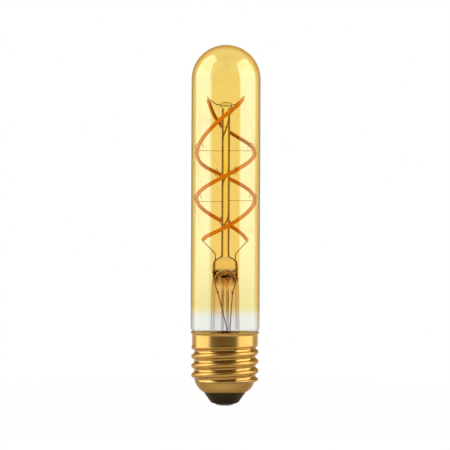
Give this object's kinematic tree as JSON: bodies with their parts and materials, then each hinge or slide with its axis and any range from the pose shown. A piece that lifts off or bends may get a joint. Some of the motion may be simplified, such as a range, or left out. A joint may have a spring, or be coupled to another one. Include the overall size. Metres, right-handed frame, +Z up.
{
  "type": "tubular filament lamp",
  "caption": "Straight tubular lamp: domed amber glass tube, light strands wound round a glass rod on hooked wires, and a brass Edison screw cap.",
  "frame": {"origin": "lowest point of the centre contact, on the lamp's axis", "axes": "+Z up the lamp's axis from the cap to the dome, -Y the front of the picture"},
  "size_m": [0.0268, 0.0268, 0.14],
  "materials": {
    "amber_glass": "amber-tinted lustre glass, clear towards its foot",
    "clear_glass": "clear stem glass",
    "black_glass": "black insulating glass, glossy",
    "brass": "rolled sheet, bright",
    "solder": "soft solder, satin",
    "cement": "basing cement, matt",
    "phosphor": "silicone coat with phosphor, satin",
    "nickel": "drawn nickel-plated wire",
    "copper_clad": "copper-clad sealing wire",
    "board": "glass-fibre laminate",
    "moulding": "black moulding",
    "resistor_coat": "lacquer",
    "capacitor_body": "dipped coat"
  },
  "bodies": {
    "root": {"glass_envelope": "amber_glass", "stem_flare": "clear_glass", "exhaust_tube": "clear_glass", "support_rod": "clear_glass", "top_link_wire": "nickel", "cap_shell": "brass", "cap_insulator": "black_glass", "centre_contact": "solder", "cap_cement": "cement", "driver_board": "board", "bridge_rectifier": "moulding", "smoothing_capacitor": "capacitor_body", "driver_chip": "moulding", "fuse_resistor": "resistor_coat", "shell_lead": "nickel", "inner_lead_left": "nickel", "seal_wire_left": "copper_clad", "outer_lead_left": "nickel", "inner_lead_right": "nickel", "seal_wire_right": "copper_clad", "outer_lead_right": "nickel", "filament_a": "phosphor", "filament_tab_a_bottom": "nickel", "filament_tab_a_top": "nickel", "support_hook_a_1": "nickel", "support_hook_a_2": "nickel", "support_hook_a_3": "nickel", "support_hook_a_4": "nickel", "support_hook_a_5": "nickel", "filament_b": "phosphor", "filament_tab_b_bottom": "nickel", "filament_tab_b_top": "nickel", "support_hook_b_1": "nickel", "support_hook_b_2": "nickel", "support_hook_b_3": "nickel", "support_hook_b_4": "nickel", "support_hook_b_5": "nickel"}
  },
  "joints": []
}
